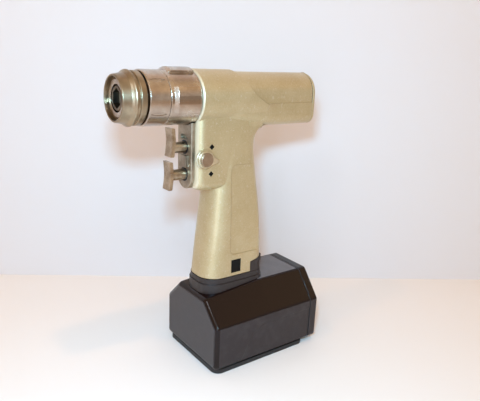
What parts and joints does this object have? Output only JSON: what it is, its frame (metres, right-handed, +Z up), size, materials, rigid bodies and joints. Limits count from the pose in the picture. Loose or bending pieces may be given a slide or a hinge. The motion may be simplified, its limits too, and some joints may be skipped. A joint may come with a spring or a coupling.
{
  "type": "surgical power drill",
  "caption": "Pistol grip surgical drill with a quick connect nose, speed collar, front triggers, a side mode selector and a clip-on battery that it stands on.",
  "frame": {"origin": "middle of the drill's length and width, on the surface that the battery stands on", "axes": "+Z up, the nose points along -Y, the mode selector is on the +X side"},
  "size_m": [0.0804, 0.177, 0.2444],
  "materials": {
    "housing": "satin champagne coat",
    "bright_steel": "satin",
    "bearing_steel": "ground",
    "block_steel": "satin",
    "gear_steel": "machined",
    "motor_steel": "lacquered",
    "spring_steel": "bright",
    "rubber": "matt",
    "selector_grey": "satin",
    "battery_black": "semi-gloss",
    "neck_black": "satin",
    "plate_grey": "satin",
    "cell": "shrink sleeve",
    "board": "lacquered board",
    "contact": "plated"
  },
  "bodies": {
    "handpiece": {"main_housing": "housing", "rear_cover": "housing", "rear_cover_screws": "block_steel", "rear_gasket": "rubber", "barrel_sleeve": "bright_steel", "nose_bush": "bright_steel", "stop_ring": "spring_steel", "sleeve_spring": "spring_steel", "front_bearing": "bearing_steel", "rear_bearing": "bearing_steel", "ring_gear": "gear_steel", "motor_stator": "motor_steel", "motor_front_plate": "motor_steel", "motor_rear_plate": "motor_steel", "motor_front_bearing": "bearing_steel", "motor_rear_bearing": "bearing_steel", "trigger_block": "block_steel", "block_screws": "block_steel", "stem_seals": "rubber", "upper_trigger_spring": "spring_steel", "lower_trigger_spring": "spring_steel", "contact_block": "neck_black", "control_board": "board"},
    "sleeve": {"release_sleeve": "bright_steel"},
    "collar": {"speed_collar": "bright_steel"},
    "output": {"output_spindle": "bright_steel", "planet_pins": "gear_steel"},
    "planet_1": {"planet_gear_1": "gear_steel"},
    "planet_2": {"planet_gear_2": "gear_steel"},
    "planet_3": {"planet_gear_3": "gear_steel"},
    "motor_rotor": {"rotor": "motor_steel", "sun_pinion": "gear_steel"},
    "upper_trigger": {"upper_trigger": "bright_steel"},
    "lower_trigger": {"lower_trigger": "bright_steel"},
    "selector": {"selector_lever": "selector_grey", "selector_button": "selector_grey"},
    "battery": {"battery_shell": "battery_black", "battery_rear_cap": "battery_black", "battery_gasket": "rubber", "battery_foot": "battery_black", "battery_neck": "neck_black", "battery_top_plate": "plate_grey", "battery_cells": "cell", "cell_frame": "neck_black", "battery_board": "board", "battery_contacts": "contact", "latch_spring": "spring_steel"},
    "latch": {"latch_button": "neck_black"}
  },
  "joints": [
    {"name": "sleeve_slide", "type": "slide", "parent": "handpiece", "child": "sleeve", "axis": [0, -1, 0], "range_m": [0, 0.003], "stiffness_N_per_m": 1500, "springref_m": -0.002, "deforming": ["sleeve_spring"]},
    {"name": "collar_turn", "type": "hinge", "parent": "handpiece", "child": "collar", "pos_m": [0, -0.0405, 0.222], "axis": [0, 1, 0], "range_deg": [0, 30]},
    {"name": "spindle_spin", "type": "hinge", "parent": "handpiece", "child": "output", "pos_m": [0, -0.06, 0.222], "axis": [0, 1, 0], "continuous": true},
    {"name": "rotor_spin", "type": "hinge", "parent": "handpiece", "child": "motor_rotor", "pos_m": [0, 0.02, 0.222], "axis": [0, 1, 0], "continuous": true},
    {"name": "planet_1_spin", "type": "hinge", "parent": "output", "child": "planet_1", "pos_m": [0, -0.014, 0.23212], "axis": [0, 1, 0], "continuous": true},
    {"name": "planet_2_spin", "type": "hinge", "parent": "output", "child": "planet_2", "pos_m": [-0.00877, -0.014, 0.21694], "axis": [0, 1, 0], "continuous": true},
    {"name": "planet_3_spin", "type": "hinge", "parent": "output", "child": "planet_3", "pos_m": [0.00877, -0.014, 0.21694], "axis": [0, 1, 0], "continuous": true},
    {"name": "upper_trigger_press", "type": "slide", "parent": "handpiece", "child": "upper_trigger", "axis": [0, 1, 0], "range_m": [0, 0.006], "stiffness_N_per_m": 1200, "springref_m": -0.003, "deforming": ["upper_trigger_spring"]},
    {"name": "lower_trigger_press", "type": "slide", "parent": "handpiece", "child": "lower_trigger", "axis": [0, 1, 0], "range_m": [0, 0.006], "stiffness_N_per_m": 1200, "springref_m": -0.003, "deforming": ["lower_trigger_spring"]},
    {"name": "selector_turn", "type": "hinge", "parent": "handpiece", "child": "selector", "pos_m": [0.0167, -0.0219, 0.1765], "axis": [1, 0, 0], "range_deg": [-50, 70]},
    {"name": "battery_slide", "type": "slide", "parent": "handpiece", "child": "battery", "axis": [0, 0, -1], "range_m": [0, 0.035]},
    {"name": "latch_press", "type": "slide", "parent": "battery", "child": "latch", "axis": [0, -1, 0], "range_m": [0, 0.0025], "stiffness_N_per_m": 1000, "springref_m": -0.002, "deforming": ["latch_spring"]}
  ],
  "couplings": [
    {"joint": "rotor_spin", "follows": "spindle_spin", "ratio": 4.5},
    {"joint": "planet_1_spin", "follows": "spindle_spin", "ratio": -2.8},
    {"joint": "planet_2_spin", "follows": "spindle_spin", "ratio": -2.8},
    {"joint": "planet_3_spin", "follows": "spindle_spin", "ratio": -2.8}
  ]
}
